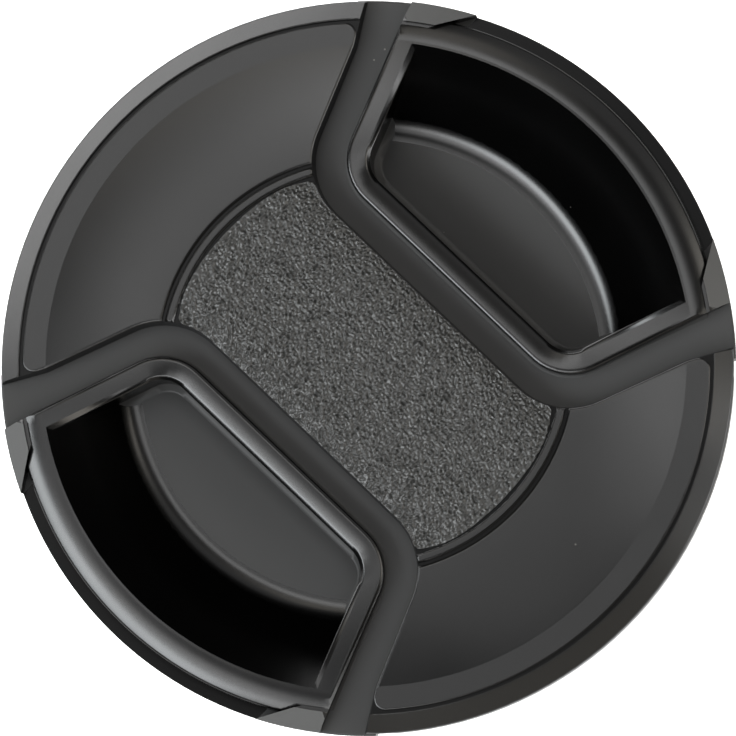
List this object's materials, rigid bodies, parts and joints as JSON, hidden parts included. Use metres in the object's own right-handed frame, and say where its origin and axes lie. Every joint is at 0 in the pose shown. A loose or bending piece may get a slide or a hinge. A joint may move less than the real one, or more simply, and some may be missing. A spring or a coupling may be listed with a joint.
{
  "type": "camera lens cap",
  "caption": "Round clip-on lens cap pinched from the front: sprung sliders with D-shaped finger wells draw their teeth out of the lens's filter thread.",
  "frame": {"origin": "centre of the rear face, which faces the lens and which the cap rests on", "axes": "+Z out of the cap's front face; X is the direction of the pinch, across the two finger wells"},
  "size_m": [0.0608, 0.0604, 0.009],
  "materials": {
    "housing_plastic": "black moulded plastic, fine matt grain",
    "cover_plastic": "black satin moulded plastic, with a leather-like grain on the centre panel",
    "slider_plastic": "black satin moulded plastic",
    "spring_steel": "drawn spring wire"
  },
  "bodies": {
    "housing": {"rear_housing": "housing_plastic", "front_cover": "cover_plastic", "return_spring_near": "spring_steel", "return_spring_far": "spring_steel"},
    "right_slider": {"pinch_slider_right": "slider_plastic"},
    "left_slider": {"pinch_slider_left": "slider_plastic"}
  },
  "joints": [
    {"name": "pinch_right", "type": "slide", "parent": "housing", "child": "right_slider", "axis": [-1, 0, 0], "range_m": [0, 0.0022], "stiffness_N_per_m": 400, "springref_m": -0.003, "deforming": ["return_spring_near", "return_spring_far"]},
    {"name": "pinch_left", "type": "slide", "parent": "housing", "child": "left_slider", "axis": [1, 0, 0], "range_m": [0, 0.0022], "stiffness_N_per_m": 400, "springref_m": -0.003, "deforming": ["return_spring_near", "return_spring_far"]}
  ]
}
